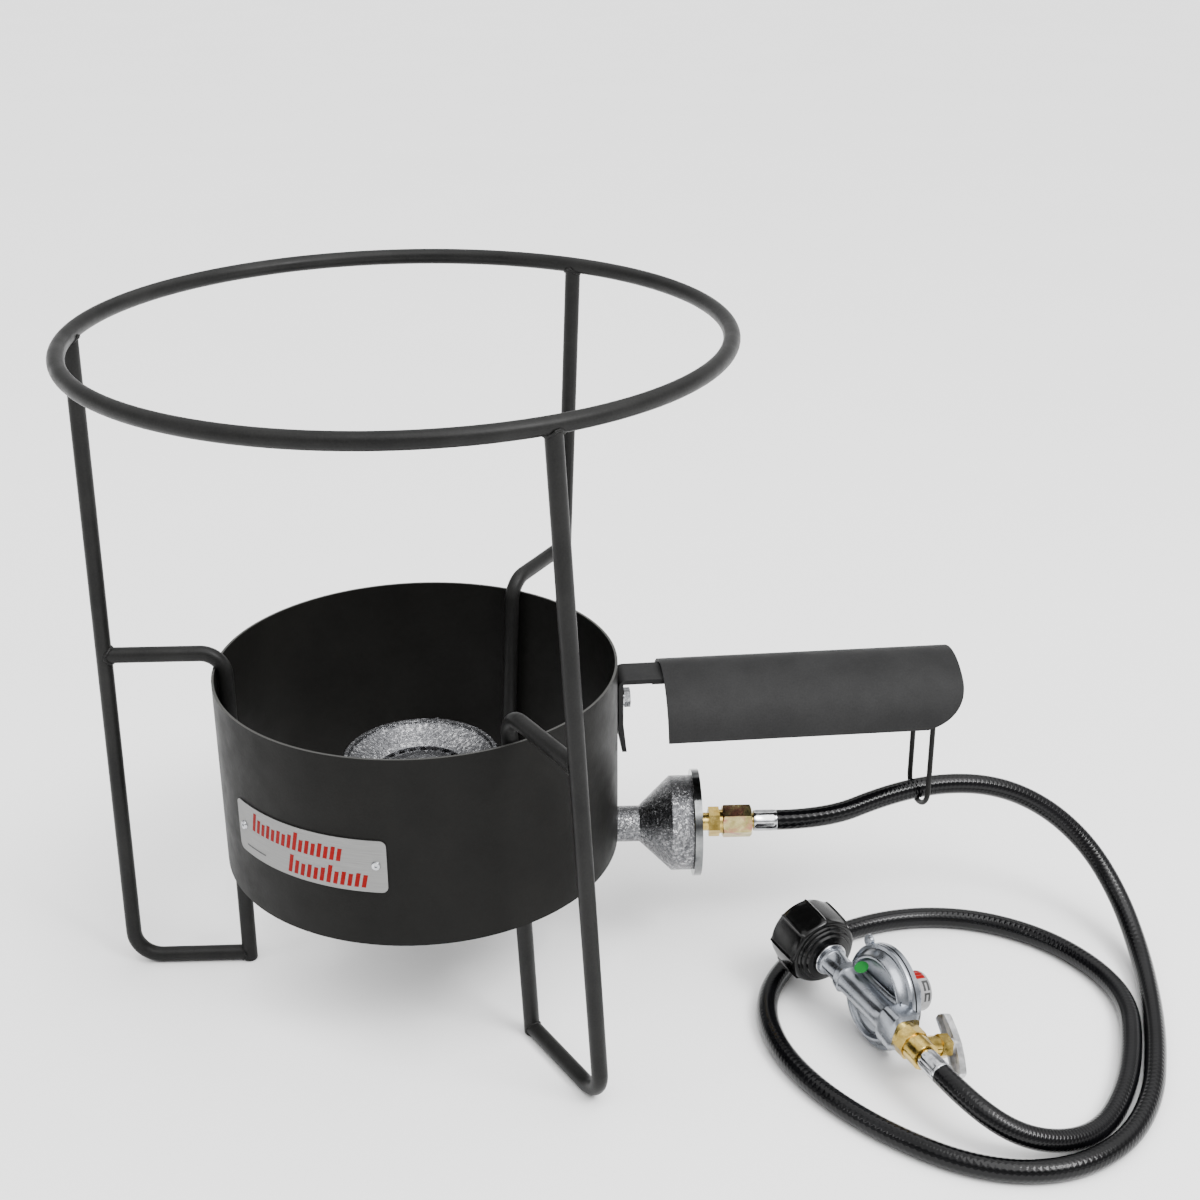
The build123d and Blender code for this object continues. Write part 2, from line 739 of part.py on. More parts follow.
with BuildPart() as diaphragm:
    add_rod(disc_plane, disc_split - half_gap, disc_split + half_gap, disc_radius - 1.0)
finish(diaphragm, "diaphragm")

with BuildPart() as diaphragm_plate:
    add_rod(disc_plane, disc_split + half_gap, disc_split + half_gap + 1.2, 18.0)
finish(diaphragm_plate, "diaphragm_plate")

bonnet_neck = 25.0
bonnet_end = 30.0
with BuildPart() as regulator_bonnet:
    add_rod(disc_plane, disc_split + half_gap, 14.4, disc_radius)
    add_cone(disc_plane, 14.4, bonnet_neck, 28.5, 15.5)
    add_rod(disc_plane, bonnet_neck, bonnet_end, 13.5)
    cut_rod(disc_plane, disc_split, 14.0, chamber_radius)
    add_cone(disc_plane, 14.0, bonnet_neck - 1, 25.2, 11.5, mode=Mode.SUBTRACT)
    cut_rod(disc_plane, bonnet_neck - 1, bonnet_end + 1, 10.5)
finish(regulator_bonnet, "regulator_bonnet")

spring_start = disc_split + half_gap + 1.2
spring_screw_face = 27.5
spring_wire = 0.9
spring_radius = 7.5
spring_free = spring_screw_face - spring_start - 2 * spring_wire - 0.4
with BuildPart() as regulator_spring:
    spring_foot = disc_centre + back_way * (spring_start + spring_wire + 0.2)
    with BuildLine() as spring_path:
        Helix(spring_free / 4, spring_free, spring_radius, center=spring_foot, direction=back_way)
    with BuildSketch(path_start(spring_path)):
        Circle(spring_wire)
    sweep(is_frenet=True)
finish(regulator_spring, "regulator_spring")

with BuildPart() as spring_screw:
    add_rod(disc_plane, spring_screw_face, bonnet_end - 0.2, 10.45)
    with BuildSketch(disc_plane.offset(bonnet_end - 1.4)):
        Rectangle(14.0, 2.0)
    extrude(amount=3, mode=Mode.SUBTRACT)
finish(spring_screw, "spring_screw")

cap_end = 40.0
with BuildPart() as bonnet_cap:
    add_rod(disc_plane, bonnet_end + 0.05, cap_end, 12.6)
    rim = bonnet_cap.edges().filter_by(GeomType.CIRCLE)
    far_rim = rim.sort_by(lambda e: (e.arc_center - regulator_origin).dot(back_way))[-1]
    fillet(far_rim, radius=2.0)
    cut_rod(disc_plane, bonnet_end, cap_end - 2.0, 10.4)
finish(bonnet_cap, "bonnet_cap")

# ---------------------------------------------------------------- valve
# Its stem points backwards and a little further down than the regulator.
stem_way = rolled(valve_roll)
valve_centre = regulator_plane.from_local_coords((0, 0, valve_at))
valve_plane = Plane(origin=valve_centre, x_dir=gas_way, z_dir=stem_way)
ball_radius = 6.0
stem_shank = 2.6
packing_start = 14.0
packing_end = 25.0
lever_start = 27.0
lever_end = 31.5

with BuildPart() as valve_body:
    add_rod(regulator_plane, body_end, valve_end, 8.8)
    with BuildSketch(regulator_plane.offset(body_end + 2.5)):
        RegularPolygon(radius=9.4, side_count=8, major_radius=False, rotation=8.5)
    extrude(amount=8.0)
    add_rod(valve_plane, 0, packing_start + 2.0, 6.4)
    cut_rod(regulator_plane, body_end - 1, valve_at, 4.0)
    cut_rod(regulator_plane, valve_at, valve_end + 1, 2.4)
    with Locations(valve_plane):
        Sphere(ball_radius + running_gap, mode=Mode.SUBTRACT)
    cut_rod(valve_plane, 0, 30, stem_shank + running_gap)
finish(valve_body, "valve_body")

with BuildPart() as packing_nut:
    with BuildSketch(valve_plane.offset(packing_start + 2.05)):
        RegularPolygon(radius=6.6, side_count=6, major_radius=False, rotation=10)
    extrude(amount=packing_end - packing_start - 3.0)
    add_rod(valve_plane, packing_end - 1.0, packing_end, 5.0)
    cut_rod(valve_plane, 0, 30, stem_shank + running_gap)
finish(packing_nut, "packing_nut")

with BuildPart() as valve_ball:
    # ball and stem turn together inside the body
    with Locations(valve_plane):
        Sphere(ball_radius)
    add_rod(valve_plane, 0, lever_start + 1.5, stem_shank)
    port_turn = radians(lever_rest_angle)
    lever_way = gas_way * cos(port_turn) + valve_plane.y_dir * sin(port_turn)
    port_start = valve_centre - lever_way * 10
    with BuildSketch(Plane(origin=port_start, z_dir=lever_way)):
        Circle(2.2)
    extrude(amount=20, mode=Mode.SUBTRACT)
finish(valve_ball, "valve_ball")

lever_plane = Plane(origin=valve_centre, x_dir=lever_way, z_dir=stem_way)
with BuildPart() as valve_lever:
    # tee lever: hub on the stem and a blade that reaches both ways
    with BuildSketch(lever_plane.offset(lever_start)):
        Circle(5.2)
    extrude(amount=lever_end - lever_start)
    with BuildSketch(lever_plane.offset(lever_end - 1.0)):
        SlotOverall(2 * lever_half_length, 8.4)
    extrude(amount=3.2)
    with BuildSketch(lever_plane.offset(lever_start)):
        Circle(stem_shank + 0.02)
    extrude(amount=1.6, mode=Mode.SUBTRACT)
    with BuildSketch(lever_plane.offset(lever_start)):
        Circle(1.6)
    extrude(amount=10, mode=Mode.SUBTRACT)
finish(valve_lever, "valve_lever")

lever_face = lever_end + 2.2
with BuildPart() as lever_screw:
    with BuildSketch(lever_plane.offset(lever_start + 1.6)):
        Circle(1.55)
    extrude(amount=lever_face - lever_start - 1.6)
    with BuildSketch(lever_plane.offset(lever_face)):
        Circle(2.9)
    extrude(amount=1.6, taper=20)
    with BuildSketch(lever_plane.offset(lever_face + 0.8)):
        Rectangle(8.0, 0.9)
    extrude(amount=2.0, mode=Mode.SUBTRACT)
finish(lever_screw, "lever_screw")

with BuildPart() as valve_stem_tail:
    # hose tail of the valve, inside the ferrule
    add_rod(regulator_plane, valve_end, hose_start_c, stem_radius)
    cut_rod(regulator_plane, valve_end - 1, hose_start_c + 1, 2.4)
finish(valve_stem_tail, "valve_tail")

with BuildPart() as valve_ferrule:
    add_rod(regulator_plane, valve_end + 0.6, hose_start_c, ferrule_radius)
    cut_rod(regulator_plane, valve_end, hose_start_c + 1, stem_radius + 0.02)
finish(valve_ferrule, "valve_ferrule")

# ---------------------------------------------------------------- gas hose
# From the burner's ferrule through the hanger, down to the floor, round one large loop,
# under the tank nut, round a second, smaller loop beside the first and up to the valve.
floor_z = hose_radius + 0.05
tail_run = 27.0
hose_route = [
    Vector(burner_ferrule_end, 0, tube_height),
    Vector(266.0, 0, tube_height),
    Vector(306.0, 13.5, 99.5),
    Vector(345.0, 23.5, 102.5),
    Vector(385.0, 28.5, 97.0),
    Vector(420.0, 27.5, 80.5),
    Vector(449.0, 17.0, 56.0),
    Vector(466.0, -8.0, 30.0),
    Vector(470.0, -47.0, 11.5),
    Vector(463.0, -95.0, floor_z),
    Vector(451.5, -140.0, floor_z),
    Vector(434.0, -188.0, floor_z),
    Vector(405.0, -227.0, floor_z),
    Vector(364.0, -247.0, floor_z),
    Vector(317.0, -242.0, floor_z),
    Vector(273.0, -212.0, floor_z),
    Vector(238.0, -172.0, floor_z),
    Vector(218.0, -128.0, floor_z),
    Vector(216.0, -83.0, floor_z),
    Vector(236.0, -42.0, floor_z),
    Vector(275.0, -9.0, floor_z),
    Vector(322.0, 7.5, floor_z),
    Vector(370.0, 4.0, floor_z),
    Vector(412.0, -20.0, floor_z),
    Vector(439.0, -57.0, floor_z),
    Vector(448.0, -95.0, floor_z),
    Vector(437.5, -137.0, floor_z),
    Vector(421.0, -178.0, floor_z),
    Vector(397.0, -213.5, 7.5),
    Vector(370.0, -228.0, 11.0),
    Vector(341.5, -229.2, 18.8),
    hose_end + gas_way * tail_run,
    hose_end,
]


def corner_radii(route):
    """Bend radius at each corner: 0.45 of the shorter run over the tangent of half the turn."""
    radii = []
    for before, corner, after in zip(route, route[1:], route[2:]):
        way_in = corner - before
        way_out = after - corner
        turn = radians(way_in.get_angle(way_out))
        radii.append(0.45 * min(way_in.length, way_out.length) / tan(turn / 2))
    return radii


hose_radii = corner_radii(hose_route)
print("hose bend radii:", [round(r) for r in hose_radii])

with BuildPart() as gas_hose:
    with BuildLine() as hose_path:
        FilletPolyline(*hose_route, radius=hose_radii)
    with BuildSketch(path_start(hose_path)):
        Circle(hose_radius)
    sweep()
hose_length = sum(edge.length for edge in hose_path.edges())
expected_volume = pi * hose_radius**2 * hose_length
print("hose length:", round(hose_length, 1))
print("hose volume ratio:", round(gas_hose.part.volume / expected_volume, 4))
finish(gas_hose, "gas_hose")
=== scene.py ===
"""Looks for the propane burner stand: camera, materials, detailed pieces, hose and light.

Sizes and places are in millimetres and MM turns them into metres; lights, texture scales and
bump depths are in metres.
"""
import bpy
from math import cos, exp, pi, radians, sin, sqrt
from mathutils import Euler, Matrix, Vector


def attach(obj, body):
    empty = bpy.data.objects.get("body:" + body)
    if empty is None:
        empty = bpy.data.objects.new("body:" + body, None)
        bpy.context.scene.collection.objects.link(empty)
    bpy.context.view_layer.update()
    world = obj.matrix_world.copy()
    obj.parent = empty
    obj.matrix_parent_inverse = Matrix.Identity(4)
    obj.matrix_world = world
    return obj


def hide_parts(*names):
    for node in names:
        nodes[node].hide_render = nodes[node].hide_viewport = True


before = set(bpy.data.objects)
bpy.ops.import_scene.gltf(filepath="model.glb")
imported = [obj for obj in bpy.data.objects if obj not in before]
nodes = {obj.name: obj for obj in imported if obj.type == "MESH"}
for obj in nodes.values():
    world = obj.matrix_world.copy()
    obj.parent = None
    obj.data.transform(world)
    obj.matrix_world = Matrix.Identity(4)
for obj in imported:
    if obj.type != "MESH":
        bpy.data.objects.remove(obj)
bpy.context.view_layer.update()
scene = bpy.context.scene
MM = 0.001

# ---------------------------------------------------------------- sizes shared with the CAD
rod_radius = 5.0
ring_height = 425.2
leg_top_radius = 192.9
leg_lean = radians(2.8)  # sideways, round the ring
lean_height = 215.0      # height at which a leg stands exactly at its azimuth
brace_radius = 119.8
shield_top = 212.4
print_radius = 127.85    # just outside the name plate's face
tube_height = 90.8       # the burner's axis, and the start of the hose
ferrule_start = 216.4
ferrule_end = 232.2
hose_radius = 6.7
hose_length = 1367.6
regulator_origin = Vector((248.4, -61.0, 38.3))
hose_end = Vector((306.3, -189.3, 31.0))
disc_at = 66.0           # the regulator's disc and the valve, along the gas path
valve_at = 115.0
disc_roll = 10.0         # the back of the disc points this many degrees below level
valve_roll = 18.0        # and the valve's stem this many
lever_angle = 37.0       # lever below the gas path, as it was left

# ---------------------------------------------------------------- camera
camera_place = (0.07676, -1.02487, 0.70859)     # metres
camera_turn = (66.0303, 0.2510, -2.3114)        # degrees about X, Y and Z
camera_data = bpy.data.cameras.new("camera")
camera_data.sensor_width = 36.0
camera_data.lens = 54.03
camera_data.clip_end = 100.0
camera = bpy.data.objects.new("camera", camera_data)
scene.collection.objects.link(camera)
camera_rotation = Euler([radians(angle) for angle in camera_turn]).to_matrix().to_4x4()
camera.matrix_world = Matrix.Translation(camera_place) @ camera_rotation
scene.camera = camera


# ---------------------------------------------------------------- node helpers
class Graph:
    """A material's node tree, with short calls for the nodes used here."""

    def __init__(self, name):
        self.mat = bpy.data.materials.new(name)
        self.mat.use_nodes = True
        self.tree = self.mat.node_tree
        self.shader = self.tree.nodes["Principled BSDF"]
        texture_place = self.tree.nodes.new("ShaderNodeTexCoord")
        self.place = texture_place.outputs["Object"]
        self.uv = texture_place.outputs["UV"]

    def set(self, **values):
        for key, value in values.items():
            self.shader.inputs[key.replace("_", " ")].default_value = value

    def link(self, source, target):
        self.tree.links.new(source, target)

    def math(self, kind, a, b):
        node = self.tree.nodes.new("ShaderNodeMath")
        node.operation = kind
        for socket, value in zip(node.inputs, (a, b)):
            if isinstance(value, (int, float)):
                socket.default_value = value
            else:
                self.link(value, socket)
        return node.outputs[0]

    def noise(self, scale, detail=4.0, rough=0.55, place=None, distortion=0.0):
        node = self.tree.nodes.new("ShaderNodeTexNoise")
        node.inputs["Scale"].default_value = scale
        node.inputs["Detail"].default_value = detail
        node.inputs["Roughness"].default_value = rough
        node.inputs["Distortion"].default_value = distortion
        self.link(place or self.place, node.inputs["Vector"])
        return node.outputs["Fac"]

    def span(self, value, low, high, to_low=0.0, to_high=1.0):
        """Maps low..high to to_low..to_high, and clamps."""
        node = self.tree.nodes.new("ShaderNodeMapRange")
        self.link(value, node.inputs["Value"])
        for key, number in zip(("From Min", "From Max", "To Min", "To Max"),
                               (low, high, to_low, to_high)):
            node.inputs[key].default_value = number
        return node.outputs["Result"]

    def colours(self, value, *stops):
        """Colour ramp through (position, colour) stops."""
        node = self.tree.nodes.new("ShaderNodeValToRGB")
        ramp = node.color_ramp
        while len(ramp.elements) < len(stops):
            ramp.elements.new(0.5)
        for element, (at, colour) in zip(ramp.elements, stops):
            element.position = at
            element.color = (*colour, 1.0)
        self.link(value, node.inputs["Fac"])
        return node.outputs["Color"]

    def mix(self, share, a, b):
        """Colour a where share is 0 and colour b where it is 1."""
        node = self.tree.nodes.new("ShaderNodeMix")
        node.data_type = "RGBA"
        for socket, value in ((node.inputs[0], share), (node.inputs[6], a), (node.inputs[7], b)):
            if isinstance(value, tuple):
                socket.default_value = (*value, 1.0)
            else:
                self.link(value, socket)
        return node.outputs[2]

    def split(self, vector):
        node = self.tree.nodes.new("ShaderNodeSeparateXYZ")
        self.link(vector, node.inputs[0])
        return node.outputs

    def facing(self):
        """X, Y and Z of the surface normal."""
        return self.split(self.tree.nodes.new("ShaderNodeNewGeometry").outputs["Normal"])

    def stretched(self, scale):
        """Object coordinates, multiplied by scale."""
        mapping = self.tree.nodes.new("ShaderNodeMapping")
        mapping.inputs["Scale"].default_value = scale
        self.link(self.place, mapping.inputs["Vector"])
        return mapping.outputs["Vector"]

    def bump(self, height, distance, strength):
        node = self.tree.nodes.new("ShaderNodeBump")
        node.inputs["Distance"].default_value = distance
        node.inputs["Strength"].default_value = strength
        self.link(height, node.inputs["Height"])
        self.link(node.outputs["Normal"], self.shader.inputs["Normal"])

    def base(self, colour):
        self.link(colour, self.shader.inputs["Base Color"])

    def rough(self, value):
        self.link(value, self.shader.inputs["Roughness"])


# ---------------------------------------------------------------- kinds of material
def paint(name, dark, light, rough_low, rough_high, grain, lit_bare_rim=None, shine=0.09):
    """Enamel over steel: clouds of tone, fine orange peel and, if asked, a top edge painted
    lighter where it faces up, partly bare steel and partly a painted highlight.
    """
    peel_depth = 0.00012
    speck_share = 0.35
    bare_steel_highlight = (0.05, 0.05, 0.048)
    g = Graph(name)
    cloud = g.noise(22.0, 5.0, 0.6)
    speck = g.noise(900.0, 2.0, 0.6)
    tone = g.math("ADD", g.math("MULTIPLY", cloud, 1 - speck_share),
                  g.math("MULTIPLY", speck, speck_share))
    colour = g.colours(tone, (0.36, dark), (0.66, light))
    # Top edge painted lighter where it faces up: partly bare steel, partly a painted highlight
    # from light falling from above.
    if lit_bare_rim is not None:
        height = g.split(g.place)[2]
        faces_up = g.span(g.facing()[2], 0.75, 0.95)
        near_top = g.span(height, (lit_bare_rim - 0.9) * MM, (lit_bare_rim - 0.2) * MM)
        colour = g.mix(g.math("MULTIPLY", faces_up, near_top), colour, bare_steel_highlight)
    g.base(colour)
    g.rough(g.span(g.noise(60.0, 4.0, 0.6), 0.3, 0.7, rough_low, rough_high))
    g.bump(g.noise(grain, 3.0, 0.6), peel_depth, 0.55)
    g.set(Metallic=0.0, Coat_Weight=0.0, Specular_IOR_Level=shine)
    return g.mat


def metal(name, dark, light, rough_low, rough_high, scale, depth, stretch=None):
    """Bare or plated metal with tone, roughness and surface that vary over its own scale."""
    g = Graph(name)
    place = g.stretched(stretch) if stretch else g.place
    grain = g.noise(scale, 5.0, 0.65, place)
    g.base(g.colours(grain, (0.3, dark), (0.7, light)))
    g.rough(g.span(g.noise(scale / 2, 4.0, 0.6, place), 0.3, 0.7, rough_low, rough_high))
    g.bump(grain, depth, 0.6)
    g.set(Metallic=1.0)
    return g.mat


def casting(name, dark, middle, light, rough_low, rough_high, scale, depth):
    """Sand-cast surface: crinkled skin with pits, painted shade in the pits and painted
    highlights on the high points.
    """
    grit_scale = 3.2 * scale
    patch_scale = 0.11 * scale
    grit_share = 0.3
    patch_share = 0.16
    g = Graph(name)
    crinkle = g.noise(scale, 3.0, 0.62, distortion=0.7)
    grit = g.noise(grit_scale, 3.0, 0.7, distortion=0.4)
    patches = g.noise(patch_scale, 3.0, 0.5)
    height = g.math("ADD", g.math("MULTIPLY", crinkle, 1 - grit_share),
                    g.math("MULTIPLY", grit, grit_share))
    drift = g.math("MULTIPLY", g.math("SUBTRACT", patches, 0.5), patch_share)
    # Colour follows the crinkle's height: painted shade in the pits and painted highlights on the
    # high points, plus patches of random tone.
    tone = g.math("ADD", height, drift)
    g.base(g.colours(tone, (0.38, dark), (0.54, middle), (0.66, light)))
    g.rough(g.span(height, 0.35, 0.62, rough_high, rough_low))
    g.bump(height, depth, 1.0)
    g.set(Metallic=1.0)
    return g.mat


def moulded(name, colour, other, rough, shine=0.5):
    """Moulded plastic, rubber or ink with a slight grain and tone."""
    grain_depth = 0.00003
    g = Graph(name)
    grain = g.noise(300.0, 3.0, 0.5)
    g.base(g.colours(g.noise(35.0, 4.0, 0.6), (0.35, colour), (0.7, other)))
    g.rough(g.span(grain, 0.3, 0.7, rough * 0.8, rough * 1.25))
    g.bump(grain, grain_depth, 0.5)
    g.set(Metallic=0.0, Coat_Weight=0.0, Specular_IOR_Level=shine)
    return g.mat


def chromate(name, dark, light, blush):
    """Yellow chromate over zinc, which drifts to red in patches."""
    g = Graph(name)
    patches = g.span(g.noise(75.0, 3.0, 0.6, distortion=1.2), 0.46, 0.62)
    gold = g.colours(g.noise(160.0), (0.3, dark), (0.7, light))
    g.base(g.mix(patches, gold, blush))
    g.rough(g.span(g.noise(90.0), 0.3, 0.7, 0.14, 0.32))
    g.bump(g.noise(220.0), 0.00006, 0.6)
    g.set(Metallic=1.0)
    return g.mat


def braided_rubber(name, dark, light):
    """Smooth rubber over a braid that shows through it as two crossed sets of ridges."""
    braid_pitch = 3.4
    strands = 8.0
    g = Graph(name)
    uv = g.split(g.uv)
    along = g.math("MULTIPLY", uv[0], hose_length / braid_pitch)
    around = g.math("MULTIPLY", uv[1], strands)
    left = g.math("MULTIPLY", g.math("ADD", along, around), 2 * pi)
    right = g.math("MULTIPLY", g.math("SUBTRACT", along, around), 2 * pi)
    braid = g.math("MAXIMUM", g.math("SINE", left, 0.0), g.math("SINE", right, 0.0))
    g.base(g.colours(g.noise(40.0), (0.35, dark), (0.7, light)))
    g.rough(g.span(g.noise(90.0), 0.3, 0.7, 0.07, 0.13))
    g.bump(braid, 0.00009, 0.6)
    g.set(Metallic=0.0, Coat_Weight=0.0, Specular_IOR_Level=0.21)
    return g.mat


# ---------------------------------------------------------------- materials
black = paint("black_enamel", (0.0052, 0.0052, 0.0051), (0.0128, 0.0127, 0.0123),
              0.34, 0.46, 700.0, shine=0.13)
shield_paint = paint("shield_enamel", (0.0042, 0.0041, 0.0037), (0.0070, 0.0068, 0.0062),
                     0.42, 0.54, 500.0, lit_bare_rim=shield_top)
guard_paint = paint("guard_enamel", (0.0125, 0.0125, 0.0127), (0.0205, 0.0205, 0.0207),
                    0.5, 0.62, 800.0)
cast_silver = casting("cast_silver", (0.078, 0.079, 0.084), (0.18, 0.182, 0.19),
                      (0.60, 0.60, 0.61), 0.16, 0.36, 460.0, 0.0010)
die_cast = metal("die_cast_zinc", (0.23, 0.245, 0.27), (0.37, 0.39, 0.425),
                 0.20, 0.34, 70.0, 0.00020)
rim_steel = metal("rim_steel", (0.085, 0.09, 0.092), (0.24, 0.245, 0.245),
                  0.1, 0.2, 90.0, 0.00006)
zinc = metal("zinc_plate", (0.20, 0.205, 0.22), (0.60, 0.61, 0.63),
             0.14, 0.3, 200.0, 0.00005)
brass = metal("brass", (0.36, 0.235, 0.045), (0.72, 0.54, 0.17),
              0.14, 0.3, 180.0, 0.00006)
ferrule_zinc = metal("ferrule_zinc", (0.26, 0.265, 0.28), (0.72, 0.73, 0.75),
                     0.1, 0.22, 150.0, 0.00003)
lever_zinc = metal("lever_zinc", (0.36, 0.36, 0.365), (0.72, 0.72, 0.725),
                   0.3, 0.46, 240.0, 0.00014)
plate = metal("brushed_plate", (0.17, 0.17, 0.167), (0.24, 0.24, 0.236),
              0.36, 0.5, 60.0, 0.00002, stretch=(1.0, 1.0, 60.0))
yellow_zinc = chromate("yellow_zinc", (0.34, 0.28, 0.10), (0.68, 0.58, 0.28),
                       blush=(0.48, 0.22, 0.15))
nut_plastic = moulded("nut_plastic", (0.0014, 0.0014, 0.0014), (0.0026, 0.0026, 0.0026),
                      0.15, shine=0.24)
seal_rubber = moulded("seal_rubber", (0.02, 0.02, 0.02), (0.035, 0.035, 0.035), 0.6)
white_label = moulded("white_label", (0.20, 0.20, 0.203), (0.27, 0.27, 0.273), 0.3)
red_ink = moulded("red_ink", (0.17, 0.0006, 0.0005), (0.22, 0.001, 0.0008), 0.5, shine=0.1)
dark_ink = moulded("dark_ink", (0.012, 0.012, 0.012), (0.022, 0.022, 0.022), 0.5)
green_ink = moulded("green_ink", (0.001, 0.085, 0.008), (0.002, 0.13, 0.016), 0.35, shine=0.25)
hose_rubber = braided_rubber("hose_rubber", (0.0016, 0.0016, 0.0019), (0.0034, 0.0034, 0.004))


# ---------------------------------------------------------------- mesh helpers
def add_mesh(name, skins, mat, body="stand", smooth=True, angle=None):
    """One object from several (points, faces) skins; edges sharper than angle stay crisp."""
    points, faces = [], []
    for skin_points, skin_faces in skins:
        start = len(points)
        points += [tuple(p) for p in skin_points]
        faces += [tuple(start + i for i in face) for face in skin_faces]
    mesh = bpy.data.meshes.new(name)
    mesh.from_pydata(points, [], faces)
    mesh.materials.append(mat)
    mesh.validate()
    obj = bpy.data.objects.new(name, mesh)
    scene.collection.objects.link(obj)
    for polygon in mesh.polygons:
        polygon.use_smooth = smooth
    if angle is not None:
        mesh.set_sharp_from_angle(angle=radians(angle))
    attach(obj, body)
    return obj


def rings(sections, closed=False):
    """Points and faces of a skin over equal-sized closed sections, with flat ends."""
    count = len(sections[0])
    points = [p for section in sections for p in section]
    faces = []
    steps = len(sections) if closed else len(sections) - 1
    for i in range(steps):
        a = i * count
        b = ((i + 1) % len(sections)) * count
        for j in range(count):
            k = (j + 1) % count
            faces.append((a + j, a + k, b + k, b + j))
    if not closed:
        last = (len(sections) - 1) * count
        faces.append(tuple(reversed(range(count))))
        faces.append(tuple(last + j for j in range(count)))
    return points, faces


class Axes:
    """A local frame: an origin in metres, and directions along, to the side and up."""

    def __init__(self, origin, along, side):
        self.origin = Vector(origin)
        self.along = Vector(along).normalized()
        self.side = (Vector(side) - self.along * Vector(side).dot(self.along)).normalized()
        self.up = self.along.cross(self.side)

    def at(self, along, side, up):
        """Point in metres, from distances in millimetres."""
        return self.origin + (self.along * along + self.side * side + self.up * up) * MM

    def round(self, along, radius, turn):
        return self.at(along, radius * cos(turn), radius * sin(turn))

    def lathe(self, profile, segments=96, shape=None, closed=False):
        """Turns (distance along, radius) pairs; shape(turn, along, radius) scales the radius."""
        sections = []
        for along, radius in profile:
            section = []
            for j in range(segments):
                turn = 2 * pi * j / segments
                scale = shape(turn, along, radius) if shape else 1.0
                section.append(self.round(along, radius * scale, turn))
            sections.append(section)
        return rings(sections, closed=closed)

    def loft(self, sections, count=48):
        """Skins rounded blocks: (along, side centre, up centre, half side, half up, power)."""
        skins = []
        for along, side, up, half_side, half_up, power in sections:
            skin = []
            for j in range(count):
                turn = 2 * pi * j / count
                c, s = cos(turn), sin(turn)
                x = half_side * abs(c) ** (2 / power) * (1 if c >= 0 else -1)
                y = half_up * abs(s) ** (2 / power) * (1 if s >= 0 else -1)
                skin.append(self.at(along, side + x, up + y))
            skins.append(skin)
        return rings(skins)

    def mark(self, radius, along, turns, slant=0.0, steps=10):
        """Thin printed patch on a round surface: two distances along and two turns in degrees."""
        ink = 0.06
        start, end = along
        first, last = (radians(turn) for turn in turns)
        skins = []
        for i in range(steps + 1):
            turn = first + (last - first) * i / steps
            lean = slant * (end - start) / radius
            skins.append([
                self.round(start, radius, turn),
                self.round(start, radius + ink, turn),
                self.round(end, radius + ink, turn + lean),
                self.round(end, radius, turn + lean),
            ])
        return rings(skins)


tube = Axes((0, 0, tube_height * MM), (1, 0, 0), (0, 1, 0))
upright = Axes((0, 0, 0), (0, 0, 1), (1, 0, 0))
gas_way = (hose_end - regulator_origin).normalized()
level_way = Vector((-gas_way.y, gas_way.x, 0)).normalized()
rise_way = gas_way.cross(level_way)


def rolled(angle):
    """Direction square to the gas path, this many degrees below level."""
    return level_way * cos(radians(angle)) - rise_way * sin(radians(angle))


regulator = Axes(regulator_origin * MM, gas_way, rolled(disc_roll))
disc = Axes(regulator.at(disc_at, 0, 0), regulator.side, -gas_way)
valve = Axes(regulator.at(valve_at, 0, 0), rolled(valve_roll), gas_way)

# ---------------------------------------------------------------- gas hose
# From the burner's ferrule through the hanger, down to the floor, round one large loop,
# under the tank nut, round a second, smaller loop beside the first and up to the valve.
floor_z = hose_radius + 0.05
tail_run = 27.0
route = [
    (ferrule_end, 0.0, tube_height),
    (266.0, 0.0, tube_height),
    (306.0, 13.5, 99.5),
    (345.0, 23.5, 102.5),
    (385.0, 28.5, 97.0),
    (420.0, 27.5, 80.5),
    (449.0, 17.0, 56.0),
    (466.0, -8.0, 30.0),
    (470.0, -47.0, 11.5),
    (463.0, -95.0, floor_z),
    (451.5, -140.0, floor_z),
    (434.0, -188.0, floor_z),
    (405.0, -227.0, floor_z),
    (364.0, -247.0, floor_z),
    (317.0, -242.0, floor_z),
    (273.0, -212.0, floor_z),
    (238.0, -172.0, floor_z),
    (218.0, -128.0, floor_z),
    (216.0, -83.0, floor_z),
    (236.0, -42.0, floor_z),
    (275.0, -9.0, floor_z),
    (322.0, 7.5, floor_z),
    (370.0, 4.0, floor_z),
    (412.0, -20.0, floor_z),
    (439.0, -57.0, floor_z),
    (448.0, -95.0, floor_z),
    (437.5, -137.0, floor_z),
    (421.0, -178.0, floor_z),
    (397.0, -213.5, 7.5),
    (370.0, -228.0, 11.0),
    (341.5, -229.2, 18.8),
    tuple(hose_end + gas_way * tail_run),
    tuple(hose_end),
]
curve = bpy.data.curves.new("gas_hose_line", "CURVE")
curve.dimensions = "3D"
spline = curve.splines.new("NURBS")
spline.points.add(len(route) - 1)
for point, place in zip(spline.points, route):
    point.co = (place[0] * MM, place[1] * MM, place[2] * MM, 1.0)
spline.order_u = 3
spline.use_endpoint_u = True
spline.resolution_u = 12
curve.bevel_depth = hose_radius * MM
curve.bevel_resolution = 8
curve.use_fill_caps = True
curve.materials.append(hose_rubber)
hose = bpy.data.objects.new("gas_hose_tube", curve)
scene.collection.objects.link(hose)
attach(hose, "stand")
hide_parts("gas_hose")


# ---------------------------------------------------------------- crimped ferrules
def crimp_shape(turn, along, radius):
    """Eight lengthwise flats pressed into the middle of a ferrule."""
    flats = 8
    plain_radius = 6.9
    depth = 0.028
    return 1.0 - depth * (1 + cos(flats * turn)) if radius > plain_radius else 1.0


